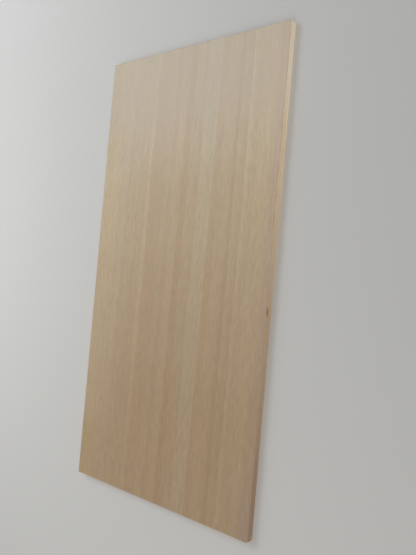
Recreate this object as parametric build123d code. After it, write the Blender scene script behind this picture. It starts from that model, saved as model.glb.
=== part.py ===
from build123d import *
import os

# A three-ply bamboo panel, lying flat with its good face up. Sizes are in millimetres.
# X runs across the panel, Y runs along it with the strips of the face, and Z goes up from
# the middle of its underside.

# Outline of the panel, as sawn from a 1220 x 2440 sheet
panel_length = 1220.0
panel_width = 610.0

# Thickness of each ply, from the underside up
back_ply_thickness = 6.0
core_ply_thickness = 7.0
face_ply_thickness = 6.0

# Edges eased with sandpaper after sawing
corner_radius = 2.0
face_arris_radius = 0.8
back_arris_radius = 0.5

# The core's strips lie across the panel, side by side and not edge-glued, so an open joint
# shows between two strip ends wherever the core comes out at a long edge
core_strip_width = 7.0
core_joint_width = 0.4
core_joint_depth = 0.6

# Heights at which the plies meet
core_ply_bottom = back_ply_thickness
face_ply_bottom = core_ply_bottom + core_ply_thickness


def ply_blank(bottom, thickness):
    """One ply of the panel's outline with its upright corners eased, before any other work."""
    outline = RectangleRounded(panel_width, panel_length, corner_radius)
    return Pos(0, 0, bottom) * extrude(outline, thickness)


def core_joints(bottom, thickness):
    """Cutters for the open joints between strip ends, along both long edges."""
    joint_count = int(panel_length / core_strip_width)
    joint = Box(2 * core_joint_depth, core_joint_width, thickness)
    places = GridLocations(panel_width, core_strip_width, 2, joint_count)
    middle = Pos(0, 0, bottom + thickness / 2)
    return [middle * place * joint for place in places]


def make_face_ply():
    """The good face, its upper arris rounded all the way round."""
    ply = ply_blank(face_ply_bottom, face_ply_thickness)
    arris = ply.faces().sort_by(Axis.Z)[-1].outer_wire().edges()
    return fillet(arris, face_arris_radius)


def make_core_ply():
    """The cross-laid middle, notched where two strip ends stand side by side."""
    ply = ply_blank(core_ply_bottom, core_ply_thickness)
    return ply - core_joints(core_ply_bottom, core_ply_thickness)


def make_back_ply():
    """The underside, its lower arris rounded a little all the way round."""
    ply = ply_blank(0, back_ply_thickness)
    arris = ply.faces().sort_by(Axis.Z)[0].outer_wire().edges()
    return fillet(arris, back_arris_radius)


os.makedirs("parts", exist_ok=True)
export_step(make_face_ply(), "parts/face_ply.step")
export_step(make_core_ply(), "parts/core_ply.step")
export_step(make_back_ply(), "parts/back_ply.step")
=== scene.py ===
import math
import random
import bmesh
import bpy
from mathutils import Matrix, Vector, noise


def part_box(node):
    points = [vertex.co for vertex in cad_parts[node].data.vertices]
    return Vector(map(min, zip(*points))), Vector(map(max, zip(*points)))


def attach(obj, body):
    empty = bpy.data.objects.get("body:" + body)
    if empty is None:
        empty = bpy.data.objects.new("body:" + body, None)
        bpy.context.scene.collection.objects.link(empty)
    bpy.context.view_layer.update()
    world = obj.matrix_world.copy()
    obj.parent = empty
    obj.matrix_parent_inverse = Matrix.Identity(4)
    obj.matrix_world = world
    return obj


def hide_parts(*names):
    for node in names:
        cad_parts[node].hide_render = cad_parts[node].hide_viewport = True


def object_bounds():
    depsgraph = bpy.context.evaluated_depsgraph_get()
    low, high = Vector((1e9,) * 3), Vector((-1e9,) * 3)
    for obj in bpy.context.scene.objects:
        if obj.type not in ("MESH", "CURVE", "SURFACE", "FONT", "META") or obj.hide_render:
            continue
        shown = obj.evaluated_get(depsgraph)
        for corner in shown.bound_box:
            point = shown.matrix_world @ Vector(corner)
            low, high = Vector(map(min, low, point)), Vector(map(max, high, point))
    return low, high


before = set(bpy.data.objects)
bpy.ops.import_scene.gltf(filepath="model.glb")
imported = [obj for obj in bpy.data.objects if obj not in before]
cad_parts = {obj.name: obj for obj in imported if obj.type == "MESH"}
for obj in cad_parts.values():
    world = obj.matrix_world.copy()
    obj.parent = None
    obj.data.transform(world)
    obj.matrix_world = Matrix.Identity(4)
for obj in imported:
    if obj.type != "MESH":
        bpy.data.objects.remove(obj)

bl_info = {
    "name": "Bamboo Panel",
    "version": (1, 0, 0),
    "blender": (4, 5, 0),
    "location": "View3D > Sidebar > Bamboo",
    "description": "Makes a three-ply bamboo panel, lying on a pale floor",
    "category": "Add Mesh",
}

MM = 0.001
CAD_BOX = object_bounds()
NEAR = CAD_BOX[0].y
RIGHT, FAR, TOP = CAD_BOX[1]
X_AXIS = Vector((1, 0, 0))
Y_AXIS = Vector((0, 1, 0))
Z_AXIS = Vector((0, 0, 1))

# Shapes

# Two places closer than this are one place
TOUCHING = 0.01 * MM
# A face of an outer ply is part of its sawn edge where its normal rises less than this
SAWN_RISE = 0.5
# A face of a core strip is its sawn end where its normal runs along the strip more than this
END_RUN = 0.9
# A face is shaded flat where its normal is closer than this to an axis
FLAT = 0.999

# How many steps each rounding has
CORNER_STEPS = 5
FACE_ARRIS_STEPS = 3
BACK_ARRIS_STEPS = 2
CORE_EASE_STEPS = 2

# The outer plies are divided across this often, and all round this far from their sanded face, so
# that their edges can be rubbed back in places
CUT_SPACING = 20 * MM
SKIRT = 2 * MM
# The rubbing comes and goes in long waves and in short ones: how many to a metre, and how much
# each counts. It reaches this many times the arris' radius from the edge.
WEAR_WAVES = ((28, 1.0), (90, 0.35))
WEAR_REACH = 1.2

# The core strips are set back at their sawn ends by up to this many millimetres, and their long
# edges are eased with a radius between these two, in millimetres
CORE_SET_BACK = 0.12
CORE_EASE = (0.1, 0.45)

# Strips

# Seeds of the random numbers, and how much single strips differ in lightness
FACE_SEED = 11
BACK_SEED = 23
CORE_SEED = 41
FACE_SCATTER = 0.017
BACK_SCATTER = 0.04
CORE_SCATTER = 0.05

# How the strips of the good face were laid up: bands of like strips from the left edge to the
# right one, each with its width in millimetres, the colour of its strips, and how many times as
# light as that colour they are
FACE_BANDS = (
    (61, "straw", 1.0), (44, "light", 1.0), (77, "plain", 1.0), (11, "light", 1.06),
    (5.5, "tan", 1.06), (38.5, "tan", 1.0), (16.5, "plain", 0.98), (11, "light", 0.97),
    (16.5, "tan", 1.0), (16.5, "plain", 1.02), (11, "plain", 1.0), (22, "brown", 1.02),
    (16.5, "plain", 0.98), (5.5, "plain", 1.04), (16.5, "plain", 0.99), (44, "pale", 1.0),
    (22, "tan", 1.0), (38.5, "plain", 1.0), (11, "tan", 0.91), (22, "plain", 0.98),
    (5.5, "plain", 0.92), (11, "light", 1.06), (66, "light", 1.0), (22, "grey", 1.0),
)
# The same for the back
BACK_BANDS = (
    (11, "pale", 1.0), (99, "light", 1.0), (90, "plain", 1.0), (60, "tan", 1.0),
    (140, "plain", 1.0), (80, "straw", 1.0), (119, "plain", 1.0), (11, "pale", 1.0),
)

# Chip and other marks

# A small chip in the upper arris of the right edge, and how many parts its length is modelled in
CHIP_Y = -76 * MM
CHIP_HALF_LENGTH = 9 * MM
CHIP_DEPTH = 0.8 * MM
CHIP_PARTS = 5

# Marks on the panel: name, middle, how far it reaches each way, how much of that is solid, and
# colour. The chip lays bare dark fibre. The near right corner of the face is painted greyer and
# darker, as painted shade, and the lower end of that corner is paler and yellower. A stretch of
# the right edge is paler too. The far end of the face is painted with a greyer tone that hides
# some grain, as a painted sheen.
MARKS = (
    ("chip", (RIGHT, CHIP_Y, TOP - 2.4 * MM), (1.0 * MM, 11.5 * MM, 2.4 * MM), 0.75, "#5E4330"),
    # The near right corner of the face is painted greyer and darker, as painted shade
    ("painted_corner_shade", (RIGHT, NEAR, TOP), (75 * MM, 230 * MM, 40 * MM), 0.2, "#A38577"),
    # A small paler, yellower spot at the lower end of the near right corner
    ("rubbed", (RIGHT, NEAR + 8 * MM, 5 * MM), (12 * MM, 11 * MM, 7 * MM), 0.4, "#D2B37C"),
    ("pale", (RIGHT, -270 * MM, TOP / 2), (20 * MM, 200 * MM, 30 * MM), 0.5, "#DCC09C"),
    # The far end of the face is painted with a greyer, even tone that hides some grain, as a painted
    # sheen
    ("painted_far_sheen", (0.0, FAR, TOP), (2500 * MM, 270 * MM, 100 * MM), 0.5, "#B39B7A"),
)

# Pattern of the wood

# Grain: name, width, length, how much finer detail it has, and whether it runs on across the
# joints. It is a brown that drifts down a few strips at a time, long dashes and short figure in
# each strip, and fine streaks.
GRAIN = (
    ("drift", 26 * MM, 520 * MM, 0.0, True),
    ("dashes", 4 * MM, 130 * MM, 0.0, False),
    ("figure", 3.7 * MM, 28 * MM, 1.5, False),
    ("streaks", 1.1 * MM, 80 * MM, 1.5, False),
)
# The middle span of a noise, which is stretched to a layer's full strength
NOISE_SPAN = (0.3, 0.7)
# How far apart the patterns of two strips can lie each way, in metres
STRIP_SHIFT = (3.1, 7.7, 5.3)

# Fibre bundles: half a millimetre thick, and some 40 mm long where the saw cut through them
BUNDLE_WIDTH = 0.55 * MM
BUNDLE_LENGTH = 38 * MM
# In widths: how far a bundle is solid, how far it reaches, and how softly it meets the next one
BUNDLE_SOLID = 0.15
BUNDLE_REACH = 0.5
BUNDLE_BLEND = 0.35
# How strongly they show on a strip's inner side, and how deep they lie beside the streaks' height
BUNDLES_INSIDE = 0.04
BUNDLE_SINK = 0.5
# Glue line: about a tenth of a millimetre, drawn three times as wide so that it shows
GLUE_WIDTH = 0.3 * MM
# Knuckles of the cane: their spacing and length along a strip, and how many spacings the places
# in two strips can lie apart
KNUCKLE_SPACING = 290 * MM
KNUCKLE_LENGTH = 4 * MM
KNUCKLE_SHIFT = 17.3

# Where along the panel bare wood starts to turn paler and where it is palest: on the sawn edges
# this is a painted sheen, which grows towards the far end
DRY_AND_PAINTED_SHEEN_STRETCH = (300 * MM, 500 * MM)
# Where along the panel the wood starts to turn pinker and where it is pinkest: painted warm bounce
# light, which grows towards the near end
BLUSH_AND_PAINTED_BOUNCE_STRETCH = (450 * MM, -600 * MM)

# Finishes

# Index of refraction of the wood and of its varnish
IOR = 1.5
# How far the roughness departs from the finish's own with the streaks
ROUGH_SPREAD = 0.04

# Each finish says how strongly each layer of the pattern and each mark on it shows, from 0 to 1,
# how rough it is, how deep its relief is in metres, and how much of it is varnished

# Satin varnish over sanded bamboo: even colour, a soft sheen and hardly any relief
VARNISHED = {
    # The face is painted pinker towards the near end, as painted warm bounce light
    "dry_and_painted_sheen": 0.0, "dry_and_painted_sheen_far": 0.0, "blush_and_painted_bounce": 0.33, "blush_and_painted_bounce_far": 0.13,
    "drift": 0.08, "dashes": 0.07, "figure": 0.31, "streaks": 0.1,
    "bundles": 0.26, "glue": 0.14, "knuckle": 0.1,
    # How strongly the painted shade at the near right corner and the painted sheen at the far end show
    "chip": 0.8, "painted_corner_shade": 0.35, "painted_far_sheen": 0.45,
    "rough": 0.55, "relief": 0.006 * MM, "coat": 1.0,
}
# The same wood, sanded and left bare: a little rougher and more matt
BARE = {
    "dry_and_painted_sheen": 0.5, "dry_and_painted_sheen_far": 0.5, "blush_and_painted_bounce": 0.2, "blush_and_painted_bounce_far": 0.2,
    "drift": 0.08, "dashes": 0.05, "figure": 0.16, "streaks": 0.12,
    "bundles": 0.25, "glue": 0.2, "knuckle": 0.16,
    "rough": 0.62, "relief": 0.015 * MM, "coat": 0.0,
}
# Sawn along the strips: the fibre stands out more, as fine lines
SAWN_SIDE = {
    # Towards the far end the sawn long sides are painted much paler, as a painted sheen, and towards
    # the near end pinker, as painted warm bounce light
    "dry_and_painted_sheen": 0.45, "dry_and_painted_sheen_far": 0.95, "blush_and_painted_bounce": 0.55, "blush_and_painted_bounce_far": 0.0,
    "drift": 0.06, "dashes": 0.04, "figure": 0.14, "streaks": 0.1,
    "bundles": 0.22, "glue": 0.0, "knuckle": 0.1,
    "chip": 0.8, "rubbed": 0.7, "pale": 0.22,
    "rough": 0.62, "relief": 0.03 * MM, "coat": 0.0,
}
# The long sides of the core's strips, planed before they were glued
PLANED_SIDE = {**SAWN_SIDE, "chip": 0.0}
# The back's long sides are the palest of the edge
SAWN_BACK_SIDE = {**SAWN_SIDE, "dry_and_painted_sheen": 0.6, "figure": 0.07, "bundles": 0.1, "chip": 0.0}
# Sawn across the strips: the bundles show as brown dots
SAWN_END = {
    # Towards the far end the sawn ends are painted much paler, as a painted sheen, and towards the
    # near end pinker, as painted warm bounce light
    "dry_and_painted_sheen": 0.45, "dry_and_painted_sheen_far": 0.95, "blush_and_painted_bounce": 0.55, "blush_and_painted_bounce_far": 0.0,
    "drift": 0.06, "dashes": 0.0, "figure": 0.1, "streaks": 0.1,
    "bundles": 0.34, "glue": 0.3, "knuckle": 0.0,
    "rubbed": 0.7, "pale": 0.22,
    "rough": 0.7, "relief": 0.03 * MM, "coat": 0.0,
}
# The core's ends have open joints in place of glue lines
SAWN_CORE_END = {**SAWN_END, "glue": 0.0}

# Light, floor and camera

# Ceiling boxes, from the far end to the near one: place along the panel, depth, power in watts
# and colour. They hang to the left, where the varnish mirrors them. That veils the upper part of
# the face, and they grow dimmer towards the near end.
CEILING_BOXES = (
    (1.80, 1.27, 25.2, "#F1F9FF"),
    (1.01, 0.30, 4.7, "#F4FAFF"),
    (0.71, 0.30, 3.0, "#FFFCF8"),
    (0.38, 0.35, 3.15, "#FFFBF5"),
    (0.00, 0.40, 2.15, "#FFFBF5"),
    (-0.45, 0.50, 1.45, "#FFFBF5"),
)
CEILING_X = -2.0
CEILING_HEIGHT = 2.2
CEILING_BOX_WIDTH = 2.2
# Other soft boxes: name, place, point it is turned to, width and depth in metres, power in watts
# and colour
SIDE_BOXES = (
    ("left_box", (-1.1, -0.1, 0.6), (-0.2, -0.1, 0.0), (1.2, 0.3), 0.72, "#FFFFFF"),
    ("near_box", (0.6, -1.6, 2.0), (0.0, -0.3, 0.0), (1.4, 1.4), 9.5, "#FFFCF8"),
)
# This one lights the right edge, which is brightest at its far end
EDGE_BOX = ("edge_box", (0.85, 0.52, 0.15), (0.3, 0.5, 0.02), (0.9, 0.2), 3.25, "#F6FBFF")
# Light from all round: its colour, its strength on the panel, and how bright it looks itself
ROOM_LIGHT = "#FFFFFF"
ROOM_STRENGTH = 0.28
BACKGROUND_STRENGTH = 0.65

# Floor: metres from its middle to its edge, and how matt its paint is
FLOOR_REACH = 12
FLOOR_ROUGHNESS = 0.9
# Width of the camera's sensor in millimetres
SENSOR_WIDTH = 36


def linear(code):
    """An sRGB hex colour as linear red, green and blue."""
    levels = [int(code[i:i + 2], 16) / 255 for i in (1, 3, 5)]
    return [v / 12.92 if v <= 0.04045 else ((v + 0.055) / 1.055) ** 2.4 for v in levels]


# Settings that a user would change

class BambooSizes(bpy.types.PropertyGroup):
    """Sizes of the strips and of the worn edges."""
    face_strip: bpy.props.FloatProperty(
        name="Face strip", description="Width of one strip of the face and of the back",
        default=5.5 * MM, min=2 * MM, unit="LENGTH")
    core_strip: bpy.props.FloatProperty(
        name="Core strip", description="Width of one cross-laid strip, with its joint",
        default=7 * MM, min=3 * MM, unit="LENGTH")
    core_joint: bpy.props.FloatProperty(
        name="Core joint", description="Open joint between two strips of the core",
        default=0.4 * MM, min=0.1 * MM, unit="LENGTH")
    corner: bpy.props.FloatProperty(
        name="Corner", description="Radius of the upright corners",
        default=2 * MM, min=0.2 * MM, unit="LENGTH")
    worn_corner: bpy.props.FloatProperty(
        name="Worn corner", description="Radius of the near right corner, which is rubbed rounder",
        default=3.5 * MM, min=0.2 * MM, unit="LENGTH")
    face_arris: bpy.props.FloatProperty(
        name="Face arris", description="Radius of the sanded edge of the good face",
        default=0.8 * MM, min=0.1 * MM, unit="LENGTH")
    back_arris: bpy.props.FloatProperty(
        name="Back arris", description="Radius of the sanded edge of the underside",
        default=0.5 * MM, min=0.1 * MM, unit="LENGTH")
    wear: bpy.props.FloatProperty(
        name="Wear", description="How far the sanded edges are rubbed back in places",
        default=0.3 * MM, min=0.0, unit="LENGTH")


class BambooColours(bpy.types.PropertyGroup):
    """Colours of the strips, and the gloss of the varnish."""
    straw: bpy.props.FloatVectorProperty(
        name="Straw strip", description="Yellowish strips near the left edge",
        default=linear("#CEB67C"), subtype="COLOR")
    pale: bpy.props.FloatVectorProperty(
        name="Pale strip", description="The palest strips, a little greenish",
        default=linear("#CEBC8E"), subtype="COLOR")
    light: bpy.props.FloatVectorProperty(
        name="Light strip", description="Strips a little lighter than most",
        default=linear("#CBB584"), subtype="COLOR")
    plain: bpy.props.FloatVectorProperty(
        name="Plain strip", description="Colour of most strips",
        default=linear("#C9B17E"), subtype="COLOR")
    tan: bpy.props.FloatVectorProperty(
        name="Tan strip", description="Strips a little darker and pinker than most",
        default=linear("#C6AA75"), subtype="COLOR")
    grey: bpy.props.FloatVectorProperty(
        name="Grey strip", description="Greyer strips beside the right edge",
        default=linear("#C6AE89"), subtype="COLOR")
    brown: bpy.props.FloatVectorProperty(
        name="Brown strip", description="The darkest strips",
        default=linear("#C2A26E"), subtype="COLOR")
    core: bpy.props.FloatVectorProperty(
        name="Core strip", description="Strips of the core, as seen on their sawn ends",
        default=linear("#C2A582"), subtype="COLOR")
    fibre: bpy.props.FloatVectorProperty(
        name="Fibre", description="Brown of the fibre bundles, the knuckles and the glue lines",
        default=linear("#8F6B4B"), subtype="COLOR")
    # Pinkish tan of the wood, which is also painted on more strongly towards the near end, as painted
    # warm bounce light
    blush_and_painted_bounce: bpy.props.FloatVectorProperty(
        name="Blush", description="Pinkish tan that the wood takes on towards the near end",
        default=linear("#C79A7E"), subtype="COLOR")
    # Paler tone of bare wood, which is also painted on much more strongly towards the far end of the
    # sawn edges, as a painted sheen
    dry_and_painted_sheen: bpy.props.FloatVectorProperty(
        name="Dry", description="Paler and greyer tone of wood that has no varnish on it",
        default=linear("#CEC0A9"), subtype="COLOR")
    varnish: bpy.props.FloatProperty(
        name="Varnish roughness", description="Roughness of the satin varnish on the face",
        default=0.18, min=0.0, max=1.0)


class BambooStage(bpy.types.PropertyGroup):
    """Floor and camera."""
    floor: bpy.props.FloatVectorProperty(
        name="Floor", description="Colour of the plain floor",
        default=linear("#EFEEEB"), subtype="COLOR")
    camera_place: bpy.props.FloatVectorProperty(
        name="Camera", description="Where the camera stands",
        default=(1.0131, -0.0289, 1.1335), subtype="TRANSLATION", unit="LENGTH")
    camera_aim: bpy.props.FloatVectorProperty(
        name="Camera aim", description="Point in the middle of the picture",
        default=(0.1220, -0.0060, 0.019), subtype="TRANSLATION", unit="LENGTH")
    camera_roll: bpy.props.FloatProperty(
        name="Camera roll", description="Turn of the camera about its own view",
        default=math.radians(5.0), unit="ROTATION")
    lens: bpy.props.FloatProperty(
        name="Lens", description="Focal length in millimetres on a 36 mm wide sensor",
        default=36.73, min=1.0)


# Making meshes

def add_block(bm, low, high):
    """A block between two corners."""
    made = bmesh.ops.create_cube(bm, size=1)["verts"]
    bmesh.ops.scale(bm, vec=high - low, verts=made)
    bmesh.ops.translate(bm, vec=(low + high) / 2, verts=made)


def ease(bm, edges, radius, steps):
    """Rounds edges as sandpaper does."""
    bmesh.ops.bevel(bm, geom=edges, offset=radius, offset_type="OFFSET", segments=steps,
                    profile=0.5, affect="EDGES", material=-1, clamp_overlap=True)


def ease_corners(bm, edges):
    """Rounds upright corners, and the near right one with a larger radius."""
    sizes = bpy.context.scene.bamboo_sizes
    worn = [e for e in edges if e.verts[0].co.x > 0 > e.verts[0].co.y]
    others = [e for e in edges if e not in worn]
    for group, radius in ((worn, sizes.worn_corner), (others, sizes.corner)):
        if group:
            ease(bm, [e for e in group if e.is_valid], radius, CORNER_STEPS)


def saw_lines(bm, axis, places):
    """Divides the faces along planes square to an axis, with nothing taken away."""
    for place in places:
        geometry = bm.verts[:] + bm.edges[:] + bm.faces[:]
        bmesh.ops.bisect_plane(bm, geom=geometry, dist=TOUCHING,
                               plane_co=axis * place, plane_no=axis)


def joint_places(half_length, strip):
    """Places of the joints between strips, with one strip centred on the middle."""
    count = math.floor(half_length / strip + 0.5)
    return [side * (i + 0.5) * strip for i in range(count) for side in (-1, 1)]


def rub_edges(bm, low, high, level, arris, chipped):
    """Rubs the sanded edge at a level back here and there, and more where it is chipped."""
    wear = bpy.context.scene.bamboo_sizes.wear
    reach = WEAR_REACH * arris
    up = math.copysign(1, (low.z + high.z) / 2 - level)
    for vert in bm.verts:
        near_x = high.x - abs(vert.co.x) < reach
        near_y = high.y - abs(vert.co.y) < reach
        if not (near_x or near_y) or abs(vert.co.z - level) > reach:
            continue
        waves = sum(share * noise.noise(vert.co * often) for often, share in WEAR_WAVES)
        amount = wear * max(0.0, waves)
        if chipped and vert.co.x > 0:
            away = (vert.co.y - CHIP_Y) / CHIP_HALF_LENGTH
            amount += CHIP_DEPTH * max(0.0, 1 - away ** 2)
        inward = Vector((-math.copysign(near_x, vert.co.x), -math.copysign(near_y, vert.co.y), up))
        vert.co += inward.normalized() * amount


def strip_layers(bm):
    """The mesh attributes that the materials read: a random number and a colour for each strip."""
    return bm.faces.layers.float.new("luck"), bm.faces.layers.float_color.new("strip_colour")


def varied(colour, drawn, scatter):
    """A strip's colour, a little lighter or darker than the one given."""
    factor = 1 + drawn.gauss(0, scatter)
    return [c * factor for c in colour] + [1.0]


def band_colour(place, bands):
    """Colour of the band that a place lies in, in metres from the left edge."""
    end = 0
    for width, name, lightness in bands:
        end += width * MM
        if place < end:
            break
    return [lightness * c for c in getattr(bpy.context.scene.bamboo_colours, name)]


def outer_ply(node, top, arris, steps, bands, scatter, seed):
    """The face or the back ply: eased at its corners and outer edge, and divided into strips."""
    width = bpy.context.scene.bamboo_sizes.face_strip
    low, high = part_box(node)
    level = high.z if top else low.z
    bm = bmesh.new()
    add_block(bm, low, high)
    corners = [e for e in bm.edges if abs(e.verts[0].co.z - e.verts[1].co.z) > TOUCHING]
    ease_corners(bm, corners)
    rim = [e for e in bm.edges if all(abs(v.co.z - level) < TOUCHING for v in e.verts)]
    ease(bm, rim, arris, steps)

    cuts = joint_places(high.y, CUT_SPACING)
    if top:
        cuts += [CHIP_Y + part / CHIP_PARTS * CHIP_HALF_LENGTH
                 for part in range(-CHIP_PARTS, CHIP_PARTS + 1, 2)]
    saw_lines(bm, X_AXIS, joint_places(high.x, width))
    saw_lines(bm, Y_AXIS, cuts)
    saw_lines(bm, Z_AXIS, [level + math.copysign(SKIRT, (low.z + high.z) / 2 - level)])
    bm.normal_update()

    luck, strip_colour = strip_layers(bm)
    drawn = random.Random(seed)
    last = math.ceil(high.x / width) + 1
    strips = {}
    for number in range(-last, last + 1):
        colour = band_colour(number * width - low.x, bands)
        strips[number] = drawn.random(), varied(colour, drawn, scatter)
    for face in bm.faces:
        face[luck], face[strip_colour] = strips[round(face.calc_center_median().x / width)]
        if abs(face.normal.z) < SAWN_RISE:
            face.material_index = 1 if abs(face.normal.x) > abs(face.normal.y) else 2

    rub_edges(bm, low, high, level, arris, top)
    bm.normal_update()
    for face in bm.faces:
        face.smooth = max(abs(v) for v in face.normal) < FLAT
    return bm


def add_core_strip(bm, low, high, outer_y, drawn):
    """One cross-laid strip, with its long edges eased. An outermost one has the panel's corners."""
    strip = bmesh.new()
    add_block(strip, low, high)
    long_edges, upright_edges = [], []
    for edge in strip.edges:
        run = edge.verts[0].co - edge.verts[1].co
        outer = outer_y is not None and all(abs(v.co.y - outer_y) < TOUCHING for v in edge.verts)
        if abs(run.x) > TOUCHING and not outer:
            long_edges.append(edge)
        elif abs(run.z) > TOUCHING and outer:
            upright_edges.append(edge)
    if upright_edges:
        ease_corners(strip, upright_edges)
        long_edges = [e for e in long_edges if e.is_valid]
    ease(strip, long_edges, drawn.uniform(*CORE_EASE) * MM, CORE_EASE_STEPS)
    made = bpy.data.meshes.new("strip")
    strip.to_mesh(made)
    strip.free()
    bm.from_mesh(made)
    bpy.data.meshes.remove(made)


def core_strips():
    """The core: strips side by side across the panel, each a little different at its sawn ends."""
    sizes = bpy.context.scene.bamboo_sizes
    colour = bpy.context.scene.bamboo_colours.core
    low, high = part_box("core_ply")
    joints = sorted(joint_places(high.y, sizes.core_strip))
    starts = [low.y] + [place + sizes.core_joint / 2 for place in joints]
    ends = [place - sizes.core_joint / 2 for place in joints] + [high.y]
    drawn = random.Random(CORE_SEED)
    bm = bmesh.new()
    luck, strip_colour = strip_layers(bm)
    for start, end in zip(starts, ends):
        back = drawn.uniform(0, CORE_SET_BACK) * MM
        outer_y = start if start == low.y else end if end == high.y else None
        known = len(bm.faces)
        add_core_strip(bm, Vector((low.x + back, start, low.z)),
                       Vector((high.x - back, end, high.z)), outer_y, drawn)
        bm.faces.ensure_lookup_table()
        strip = drawn.random(), varied(colour, drawn, CORE_SCATTER)
        for face in bm.faces[known:]:
            face[luck], face[strip_colour] = strip
            face.material_index = 0 if abs(face.normal.x) > END_RUN else 1
    return bm


def finish_piece(name, bm, materials):
    """Turns a bmesh into an object that rides on the panel."""
    mesh = bpy.data.meshes.new(name)
    bm.to_mesh(mesh)
    bm.free()
    for material in materials:
        mesh.materials.append(material)
    piece = bpy.data.objects.new(name, mesh)
    bpy.context.scene.collection.objects.link(piece)
    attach(piece, "root")
    return piece


# Materials

def add_node(tree, kind, inputs=None, **settings):
    """Adds a node, sets its properties, and gives each input a value or the output that feeds it."""
    node = tree.nodes.new(kind)
    for name, value in settings.items():
        setattr(node, name, value)
    for key, value in (inputs or {}).items():
        if isinstance(value, bpy.types.NodeSocket):
            tree.links.new(value, node.inputs[key])
        else:
            node.inputs[key].default_value = value
    return node


def strip_place(tree, axis, strip, luck):
    """Place across a strip, from 0 at one glue line to 1 at the next, and the same turned round
    at random, which runs from the strip's inner side to its skin."""
    part = add_node(tree, "ShaderNodeMath", {0: axis, 1: strip}, operation="DIVIDE")
    part = add_node(tree, "ShaderNodeMath", {0: part.outputs[0], 1: 0.5}, operation="ADD")
    part = add_node(tree, "ShaderNodeMath", {0: part.outputs[0]}, operation="FRACT").outputs[0]
    turned = add_node(tree, "ShaderNodeMath", {0: luck, 1: 0.5}, operation="GREATER_THAN")
    other = add_node(tree, "ShaderNodeMath", {0: 1.0, 1: part}, operation="SUBTRACT")
    skin = add_node(tree, "ShaderNodeMix", {0: turned.outputs[0], 2: part, 3: other.outputs[0]})
    return part, skin.outputs[0]


def fibre_bundles(tree, spot):
    """Fibre bundles, which are 1 in their middle and 0 between them."""
    scale = (1 / BUNDLE_WIDTH, 1 / BUNDLE_LENGTH, 1 / BUNDLE_WIDTH)
    spot = add_node(tree, "ShaderNodeVectorMath", {0: spot, 1: scale}, operation="MULTIPLY")
    away = add_node(tree, "ShaderNodeTexVoronoi", {
        "Vector": spot.outputs[0], "Scale": 1.0, "Smoothness": BUNDLE_BLEND}, feature="SMOOTH_F1")
    return add_node(tree, "ShaderNodeMapRange", {
        0: away.outputs["Distance"], 1: BUNDLE_SOLID, 2: BUNDLE_REACH, 3: 1.0, 4: 0.0},
        interpolation_type="SMOOTHSTEP").outputs[0]


def glue_line(tree, part, strip, strength):
    """The glue between two strips, from the place across one of them."""
    away = add_node(tree, "ShaderNodeMath", {0: part, 1: 0.5}, operation="PINGPONG")
    return add_node(tree, "ShaderNodeMapRange", {
        0: away.outputs[0], 1: 0.0, 2: GLUE_WIDTH / 2 / strip, 3: strength, 4: 0.0},
        interpolation_type="SMOOTHSTEP").outputs[0]


def knuckles(tree, axis, luck, strength):
    """Knuckles of the cane, evenly spaced along each strip and at its own places."""
    spot = add_node(tree, "ShaderNodeMath", {0: axis, 1: KNUCKLE_SPACING}, operation="DIVIDE")
    spot = add_node(tree, "ShaderNodeMath", {0: luck, 1: KNUCKLE_SHIFT, 2: spot.outputs[0]},
                    operation="MULTIPLY_ADD")
    away = add_node(tree, "ShaderNodeMath", {0: spot.outputs[0], 1: 0.5}, operation="PINGPONG")
    return add_node(tree, "ShaderNodeMapRange", {
        0: away.outputs[0], 1: 0.0, 2: KNUCKLE_LENGTH / 2 / KNUCKLE_SPACING, 3: strength, 4: 0.0},
        interpolation_type="SMOOTHSTEP").outputs[0]


def mark(tree, place, middle, reach, solid, strength):
    """A mark, which is strongest in its middle and gone past its reach."""
    away = add_node(tree, "ShaderNodeVectorMath", {0: place, 1: middle}, operation="SUBTRACT")
    away = add_node(tree, "ShaderNodeVectorMath", {0: away.outputs[0], 1: reach}, operation="DIVIDE")
    away = add_node(tree, "ShaderNodeVectorMath", {0: away.outputs[0]}, operation="LENGTH")
    return add_node(tree, "ShaderNodeMapRange", {
        0: away.outputs["Value"], 1: solid, 2: 1.0, 3: strength, 4: 0.0},
        interpolation_type="SMOOTHSTEP").outputs[0]


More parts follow.
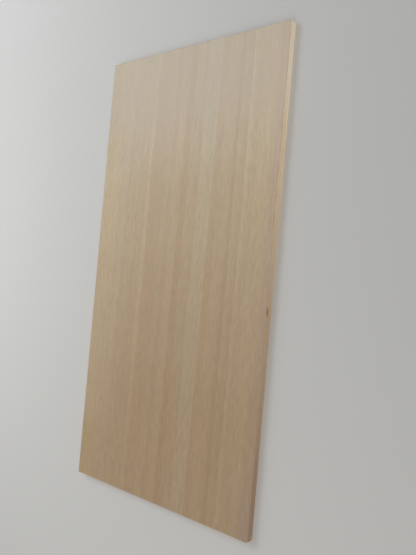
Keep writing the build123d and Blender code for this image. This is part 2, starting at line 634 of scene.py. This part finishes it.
def bamboo(name, across, along, strip, look):
    """Bamboo strips, as a solid pattern: fibre bundles that run along each strip, denser towards
    the strip's outer skin, with knuckles here and there and a thin glue line between two strips.
    On a face it gives fine straight grain, and on a sawn end the same bundles show as dots."""
    colours = bpy.context.scene.bamboo_colours
    material = bpy.data.materials.new(name)
    material.use_nodes = True
    tree = material.node_tree
    tree.nodes.clear()
    place = add_node(tree, "ShaderNodeTexCoord").outputs["Object"]
    axes = add_node(tree, "ShaderNodeSeparateXYZ", {0: place}).outputs
    luck = add_node(tree, "ShaderNodeAttribute", attribute_name="luck").outputs["Fac"]
    colour = add_node(tree, "ShaderNodeAttribute", attribute_name="strip_colour").outputs["Color"]

    # Each strip gets its own stretch of the pattern, so that nothing runs on across a joint
    shift = add_node(tree, "ShaderNodeVectorMath", {0: STRIP_SHIFT, 3: luck}, operation="SCALE")
    own = add_node(tree, "ShaderNodeCombineXYZ", {0: axes[across], 1: axes[along], 2: axes["Z"]})
    own = add_node(tree, "ShaderNodeVectorMath", {0: own.outputs[0], 1: shift.outputs[0]},
                   operation="ADD").outputs[0]

    # Layers of colour, from the lowest to the topmost: name, how strongly it shows, and colour.
    # Bare wood is paler, and the sawn edges' far stretch is painted palest, as a painted sheen. All
    # of it is painted a little pinker towards the near end, as painted warm bounce light.
    layers = []
    stretches = (
        ("dry_and_painted_sheen", DRY_AND_PAINTED_SHEEN_STRETCH, look["dry_and_painted_sheen"], look["dry_and_painted_sheen_far"], colours.dry_and_painted_sheen),
        ("blush_and_painted_bounce", BLUSH_AND_PAINTED_BOUNCE_STRETCH, look["blush_and_painted_bounce_far"], look["blush_and_painted_bounce"], colours.blush_and_painted_bounce),
    )
    for label, (start, end), first, last, tint in stretches:
        if first or last:
            shown = add_node(tree, "ShaderNodeMapRange", {
                0: axes["Y"], 1: start, 2: end, 3: first, 4: last},
                interpolation_type="SMOOTHSTEP").outputs[0]
            layers.append((label, shown, tint))

    grains = {}
    for label, width, length, detail, runs_on in GRAIN:
        wide, long = (across, along) if runs_on else ("X", "Y")
        scale = [1 / {wide: width, long: length}.get(axis, width) for axis in "XYZ"]
        spot = add_node(tree, "ShaderNodeVectorMath", {0: place if runs_on else own, 1: scale},
                        operation="MULTIPLY")
        grains[label] = add_node(tree, "ShaderNodeTexNoise", {
            "Vector": spot.outputs[0], "Scale": 1.0, "Detail": detail, "Roughness": 0.5}).outputs[0]
        shown = add_node(tree, "ShaderNodeMapRange", {
            0: grains[label], 1: NOISE_SPAN[0], 2: NOISE_SPAN[1], 3: 0.0, 4: look[label]})
        layers.append((label, shown.outputs[0], colours.fibre))

    bundles = fibre_bundles(tree, own)
    part, skin = strip_place(tree, axes[across], strip, luck)
    shown = add_node(tree, "ShaderNodeMapRange", {
        0: skin, 1: 0.0, 2: 1.0, 3: BUNDLES_INSIDE, 4: look["bundles"]})
    shown = add_node(tree, "ShaderNodeMath", {0: bundles, 1: shown.outputs[0]}, operation="MULTIPLY")
    layers.append(("bundles", shown.outputs[0], colours.fibre))
    shown = add_node(tree, "ShaderNodeMath", {
        0: glue_line(tree, part, strip, look["glue"]),
        1: knuckles(tree, axes[along], luck, look["knuckle"])}, operation="MAXIMUM")
    layers.append(("glue and knuckles", shown.outputs[0], colours.fibre))

    for label, middle, reach, solid, code in MARKS:
        if look.get(label):
            shown = mark(tree, place, middle, reach, solid, look[label])
            layers.append((label, shown, linear(code)))

    for label, shown, tint in layers:
        colour = add_node(tree, "ShaderNodeMix", {0: shown, 6: colour, 7: (*tint, 1)},
                          data_type="RGBA", label=label).outputs[2]

    rough = add_node(tree, "ShaderNodeMapRange", {
        0: grains["streaks"], 1: NOISE_SPAN[0], 2: NOISE_SPAN[1],
        3: look["rough"] - ROUGH_SPREAD, 4: look["rough"] + ROUGH_SPREAD})
    height = add_node(tree, "ShaderNodeMath", {0: bundles, 1: -BUNDLE_SINK, 2: grains["streaks"]},
                      operation="MULTIPLY_ADD")
    bump = add_node(tree, "ShaderNodeBump", {
        "Height": height.outputs[0], "Strength": 1.0, "Distance": look["relief"]})
    shader = add_node(tree, "ShaderNodeBsdfPrincipled", {
        "Base Color": colour, "Roughness": rough.outputs[0], "Normal": bump.outputs[0],
        "IOR": IOR, "Coat Weight": look["coat"], "Coat Roughness": colours.varnish,
        "Coat IOR": IOR})
    add_node(tree, "ShaderNodeOutputMaterial", {0: shader.outputs[0]})
    return material


def ply_materials(name, face_look, side_look):
    """Materials of an outer ply: its sanded face, its sawn long sides and its sawn ends."""
    strip = bpy.context.scene.bamboo_sizes.face_strip
    return [
        bamboo(name + "_sanded_bamboo", "X", "Y", strip, face_look),
        bamboo(name + "_sawn_bamboo_side", "X", "Y", strip, side_look),
        bamboo(name + "_sawn_bamboo_end", "X", "Y", strip, SAWN_END),
    ]


def core_materials():
    """Materials of the core: its strips' sawn ends and their planed sides."""
    strip = bpy.context.scene.bamboo_sizes.core_strip
    return [
        bamboo("core_sawn_bamboo_end", "Y", "X", strip, SAWN_CORE_END),
        bamboo("core_planed_bamboo_side", "Y", "X", strip, PLANED_SIDE),
    ]


def floor_material():
    """Matt painted floor, which gives the eye nothing but the panel's soft shadow."""
    material = bpy.data.materials.new("matt_painted_floor")
    material.use_nodes = True
    shader = material.node_tree.nodes["Principled BSDF"]
    shader.inputs["Base Color"].default_value = (*bpy.context.scene.bamboo_stage.floor, 1)
    shader.inputs["Roughness"].default_value = FLOOR_ROUGHNESS
    return material


# Stage

def add_floor():
    """A plain floor that the panel lies on."""
    bm = bmesh.new()
    bmesh.ops.create_grid(bm, x_segments=1, y_segments=1, size=FLOOR_REACH)
    mesh = bpy.data.meshes.new("floor")
    bm.to_mesh(mesh)
    bm.free()
    mesh.materials.append(floor_material())
    floor = bpy.data.objects.new("floor", mesh)
    bpy.context.scene.collection.objects.link(floor)
    return floor


def add_lamp(name, place, aim, size, power, colour):
    """A soft box at a place, turned to a point."""
    place, aim = Vector(place), Vector(aim)
    light = bpy.data.lights.new(name, "AREA")
    light.shape = "RECTANGLE"
    light.size, light.size_y = size
    light.energy = power
    light.color = linear(colour)
    lamp = bpy.data.objects.new(name, light)
    lamp.visible_camera = False
    turned = (aim - place).to_track_quat("-Z", "Y").to_matrix().to_4x4()
    lamp.matrix_world = Matrix.Translation(place) @ turned
    bpy.context.scene.collection.objects.link(lamp)
    return lamp


def add_lamps(floor):
    """All the soft boxes. The edge box leaves out the floor, and nothing mirrors it."""
    for number, (y, depth, power, colour) in enumerate(CEILING_BOXES, 1):
        add_lamp(f"ceiling_box_{number}", (CEILING_X, y, CEILING_HEIGHT), (CEILING_X, y, 0.0),
                 (CEILING_BOX_WIDTH, depth), power, colour)
    for box in SIDE_BOXES:
        add_lamp(*box)
    edge_lamp = add_lamp(*EDGE_BOX)
    edge_lamp.visible_glossy = False
    left_out = bpy.data.collections.new("left_out_by_edge_box")
    left_out.objects.link(floor)
    left_out.collection_objects[0].light_linking.link_state = "EXCLUDE"
    edge_lamp.light_linking.receiver_collection = left_out


def soft_room():
    """Even light from all round, with a paler background for the camera and for reflections."""
    world = bpy.data.worlds.new("soft_room")
    world.use_nodes = True
    tree = world.node_tree
    tree.nodes.clear()
    ray = add_node(tree, "ShaderNodeLightPath").outputs
    seen = add_node(tree, "ShaderNodeMath", {0: ray["Is Camera Ray"], 1: ray["Is Glossy Ray"]},
                    operation="ADD")
    seen = add_node(tree, "ShaderNodeMath", {0: seen.outputs[0], 1: ray["Is Transmission Ray"]},
                    operation="ADD", use_clamp=True)
    strength = add_node(tree, "ShaderNodeMapRange", {
        0: seen.outputs[0], 1: 0.0, 2: 1.0, 3: ROOM_STRENGTH, 4: BACKGROUND_STRENGTH})
    background = add_node(tree, "ShaderNodeBackground", {
        "Color": (*linear(ROOM_LIGHT), 1), "Strength": strength.outputs[0]})
    add_node(tree, "ShaderNodeOutputWorld", {0: background.outputs[0]})
    return world


def add_camera():
    """A camera that looks down on the panel with its length upright in the picture."""
    stage = bpy.context.scene.bamboo_stage
    place = Vector(stage.camera_place)
    back = (place - Vector(stage.camera_aim)).normalized()
    right = Y_AXIS.cross(back).normalized()
    turned = Matrix((right, back.cross(right), back)).transposed().to_4x4()
    data = bpy.data.cameras.new("camera")
    data.lens = stage.lens
    data.sensor_width = SENSOR_WIDTH
    camera = bpy.data.objects.new("camera", data)
    roll = Matrix.Rotation(stage.camera_roll, 4, "Z")
    camera.matrix_world = Matrix.Translation(place) @ turned @ roll
    bpy.context.scene.collection.objects.link(camera)
    return camera


# Operators

class BAMBOO_OT_face_ply(bpy.types.Operator):
    """Makes the face ply: strips on edge, sanded and varnished."""
    bl_idname = "bamboo.face_ply"
    bl_label = "Face ply"

    def execute(self, context):
        arris = context.scene.bamboo_sizes.face_arris
        bm = outer_ply("face_ply", True, arris, FACE_ARRIS_STEPS, FACE_BANDS, FACE_SCATTER, FACE_SEED)
        materials = ply_materials("face", VARNISHED, SAWN_SIDE)
        piece = finish_piece("face_strips", bm, materials)
        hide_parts("face_ply")
        return {"FINISHED"}


class BAMBOO_OT_core_ply(bpy.types.Operator):
    """Makes the core ply: strips laid across, with open joints between them."""
    bl_idname = "bamboo.core_ply"
    bl_label = "Core ply"

    def execute(self, context):
        piece = finish_piece("core_strips", core_strips(), core_materials())
        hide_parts("core_ply")
        return {"FINISHED"}


class BAMBOO_OT_back_ply(bpy.types.Operator):
    """Makes the back ply: strips on edge, sanded and left bare."""
    bl_idname = "bamboo.back_ply"
    bl_label = "Back ply"

    def execute(self, context):
        arris = context.scene.bamboo_sizes.back_arris
        bm = outer_ply("back_ply", False, arris, BACK_ARRIS_STEPS, BACK_BANDS, BACK_SCATTER, BACK_SEED)
        materials = ply_materials("back", BARE, SAWN_BACK_SIDE)
        piece = finish_piece("back_strips", bm, materials)
        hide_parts("back_ply")
        return {"FINISHED"}


class BAMBOO_OT_stage(bpy.types.Operator):
    """Makes the floor, the lamps, the world and the camera."""
    bl_idname = "bamboo.stage"
    bl_label = "Stage"

    def execute(self, context):
        floor = add_floor()
        add_lamps(floor)
        context.scene.world = soft_room()
        context.scene.camera = add_camera()
        context.scene.view_settings.view_transform = "Standard"
        return {"FINISHED"}


class VIEW3D_PT_bamboo(bpy.types.Panel):
    """Lists the operators in the order in which they are run."""
    bl_idname = "VIEW3D_PT_bamboo"
    bl_label = "Bamboo Panel"
    bl_space_type = "VIEW_3D"
    bl_region_type = "UI"
    bl_category = "Bamboo"

    def draw(self, context):
        for operator in OPERATORS:
            self.layout.operator(operator.bl_idname)


OPERATORS = (BAMBOO_OT_face_ply, BAMBOO_OT_core_ply, BAMBOO_OT_back_ply, BAMBOO_OT_stage)
CLASSES = (BambooSizes, BambooColours, BambooStage, *OPERATORS, VIEW3D_PT_bamboo)


def register():
    """Makes the settings, the operators and the panel known to Blender."""
    for cls in CLASSES:
        bpy.utils.register_class(cls)
    bpy.types.Scene.bamboo_sizes = bpy.props.PointerProperty(type=BambooSizes)
    bpy.types.Scene.bamboo_colours = bpy.props.PointerProperty(type=BambooColours)
    bpy.types.Scene.bamboo_stage = bpy.props.PointerProperty(type=BambooStage)


def unregister():
    """Takes back what register did, in the opposite order."""
    del bpy.types.Scene.bamboo_stage
    del bpy.types.Scene.bamboo_colours
    del bpy.types.Scene.bamboo_sizes
    for cls in reversed(CLASSES):
        bpy.utils.unregister_class(cls)


def main():
    """Makes the pieces and the stage."""
    register()
    bpy.ops.bamboo.face_ply()
    bpy.ops.bamboo.core_ply()
    bpy.ops.bamboo.back_ply()
    bpy.ops.bamboo.stage()


if __name__ == "__main__":
    main()
